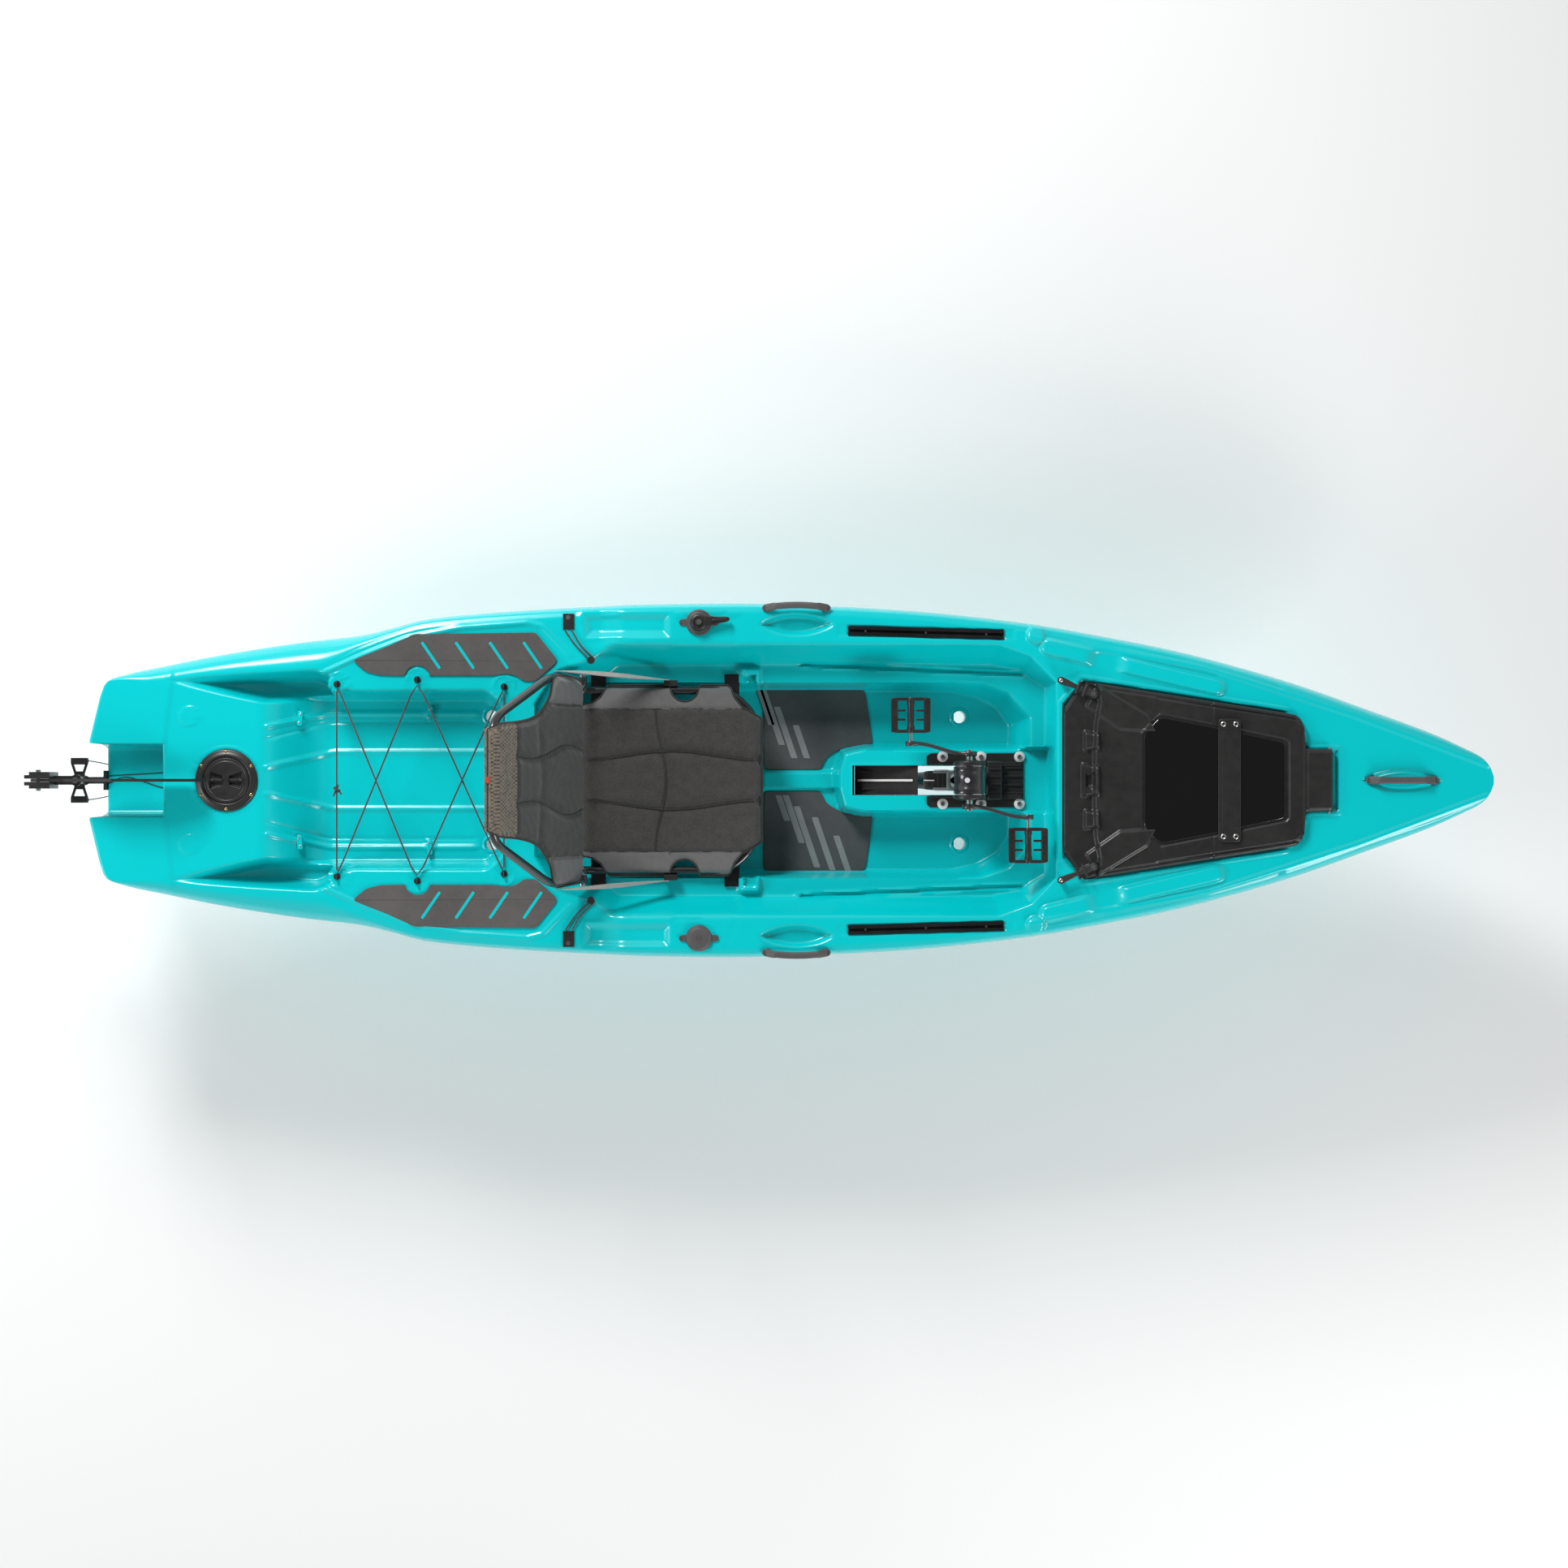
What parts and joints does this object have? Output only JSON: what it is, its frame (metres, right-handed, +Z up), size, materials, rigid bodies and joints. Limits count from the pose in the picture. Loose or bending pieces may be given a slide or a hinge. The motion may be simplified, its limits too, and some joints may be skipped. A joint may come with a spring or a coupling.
{
  "type": "pedal boat",
  "caption": "Sit-on-top pedal-drive fishing kayak with a framed seat, kick-up propeller leg, hinged bow hatch and stowable steering rudder.",
  "frame": {"origin": "on the centreline at midships, at the lowest line of the keel, where the water holds the boat up", "axes": "+X along the boat towards the bow, +Y to port, +Z up"},
  "size_m": [3.885, 0.946, 1.1512],
  "materials": {
    "hull_plastic": "rotationally moulded, satin",
    "black_plastic": "moulded, satin",
    "grey_plastic": "moulded, matt",
    "foam": "closed-cell foam, brushed",
    "steel": "brushed",
    "cord": "braided cover",
    "rubber": "moulded",
    "seat_fabric": "woven mesh",
    "webbing": "woven",
    "gloss_black": "gloss",
    "bronze": "machined",
    "leg_paint": "satin paint",
    "black_tube": "powder coat",
    "track_aluminium": "black anodised"
  },
  "bodies": {
    "hull": {"hull": "hull_plastic", "hatch_ring": "grey_plastic", "deck_screws": "steel", "hatch_gaskets": "rubber", "bow_hinge_pin": "steel", "bow_handle": "grey_plastic", "side_handle_port": "grey_plastic", "side_handle_starboard": "grey_plastic", "side_pad_port": "foam", "side_pad_starboard": "foam", "foot_pad_port": "foam", "foot_pad_starboard": "foam", "gear_track_port": "track_aluminium", "gear_track_starboard": "track_aluminium", "bungee_eyes": "black_plastic", "deck_bungee": "cord", "keeper_tabs": "black_plastic", "keeper_cords": "cord", "steering_base": "grey_plastic", "steering_bolt": "steel", "blank_cover": "grey_plastic", "rudder_bracket": "black_plastic", "rudder_pin": "steel", "steering_lines": "steel", "rudder_lines": "cord", "drive_plate": "black_plastic", "drive_bolts": "steel", "drive_head": "black_plastic", "seat_crossbars": "black_tube", "seat_base_frame": "black_tube", "seat_base_fabric": "seat_fabric", "seat_hinge_bolts": "steel", "seat_straps": "webbing", "seat_buckles": "black_plastic"},
    "hatch_lid": {"hatch_lid": "grey_plastic"},
    "bow_cover": {"bow_cover": "black_plastic", "bow_window": "gloss_black", "bow_bridge": "black_plastic", "bow_screws": "steel", "latch_pins": "steel"},
    "latch_port": {"latch_port": "rubber"},
    "latch_starboard": {"latch_starboard": "rubber"},
    "steering_lever": {"steering_lever": "black_plastic"},
    "rudder": {"rudder_yoke": "black_plastic", "rudder_head": "black_plastic", "rudder_bolt": "steel"},
    "rudder_blade": {"rudder_blade": "black_plastic"},
    "seat_back": {"seat_back_frame": "black_tube", "seat_back_fabric": "seat_fabric"},
    "drive_leg": {"drive_leg": "leg_paint", "leg_handle": "black_plastic"},
    "cranks": {"crank_spindle": "steel", "crown_gear": "bronze", "crank_port": "grey_plastic", "crank_starboard": "grey_plastic", "pedal_axles": "steel"},
    "pedal_port": {"pedal_port": "black_plastic"},
    "pedal_starboard": {"pedal_starboard": "black_plastic"},
    "drive_shaft": {"drive_shaft": "steel"},
    "propeller": {"propeller": "grey_plastic"}
  },
  "joints": [
    {"name": "hatch_twist", "type": "hinge", "parent": "hull", "child": "hatch_lid", "pos_m": [-1.488, 0, 0.31], "axis": [0, 0, 1], "range_deg": [0, 90]},
    {"name": "cover_hinge", "type": "hinge", "parent": "hull", "child": "bow_cover", "pos_m": [1.42545, 0, 0.37938], "axis": [0, 1, 0], "range_deg": [0, 95]},
    {"name": "latch_port_swing", "type": "hinge", "parent": "bow_cover", "child": "latch_port", "pos_m": [0.80553, 0.228, 0.35963], "axis": [0.0597, 0, -0.9982], "range_deg": [0, 90]},
    {"name": "latch_starboard_swing", "type": "hinge", "parent": "bow_cover", "child": "latch_starboard", "pos_m": [0.80553, -0.228, 0.35963], "axis": [-0.0597, 0, 0.9982], "range_deg": [0, 90]},
    {"name": "steering_turn", "type": "hinge", "parent": "hull", "child": "steering_lever", "pos_m": [-0.235, 0.41789, 0.335], "axis": [0, 0, 1], "range_deg": [-60, 60]},
    {"name": "rudder_steer", "type": "hinge", "parent": "hull", "child": "rudder", "pos_m": [-1.891, 0, 0.25], "axis": [0, 0, 1], "range_deg": [-35, 35], "deforming": ["steering_lines"]},
    {"name": "blade_swing", "type": "hinge", "parent": "rudder", "child": "rudder_blade", "pos_m": [-1.981, 0, 0.342], "axis": [0, -1, 0], "range_deg": [0, 245]},
    {"name": "back_fold", "type": "hinge", "parent": "hull", "child": "seat_back", "pos_m": [-0.545, 0, 0.3034], "axis": [0, 1, 0], "range_deg": [0, 100], "deforming": ["seat_straps"]},
    {"name": "leg_kick", "type": "hinge", "parent": "hull", "child": "drive_leg", "pos_m": [0.48, 0, 0.35], "axis": [0, 1, 0], "range_deg": [0, 25]},
    {"name": "crank_spin", "type": "hinge", "parent": "hull", "child": "cranks", "pos_m": [0.48, 0, 0.35], "axis": [0, 1, 0], "continuous": true},
    {"name": "pedal_port_spin", "type": "hinge", "parent": "cranks", "child": "pedal_port", "pos_m": [0.325, 0.17, 0.35], "axis": [0, 1, 0], "continuous": true},
    {"name": "pedal_starboard_spin", "type": "hinge", "parent": "cranks", "child": "pedal_starboard", "pos_m": [0.635, -0.17, 0.35], "axis": [0, 1, 0], "continuous": true},
    {"name": "shaft_spin", "type": "hinge", "parent": "drive_leg", "child": "drive_shaft", "pos_m": [0.48, 0, 0], "axis": [0, 0, 1], "continuous": true},
    {"name": "propeller_spin", "type": "hinge", "parent": "drive_leg", "child": "propeller", "pos_m": [0.35, 0, -0.26], "axis": [1, 0, 0], "continuous": true}
  ],
  "couplings": [
    {"joint": "rudder_steer", "follows": "steering_turn", "ratio": 0.58333},
    {"joint": "shaft_spin", "follows": "crank_spin", "ratio": 4},
    {"joint": "propeller_spin", "follows": "crank_spin", "ratio": 8}
  ]
}
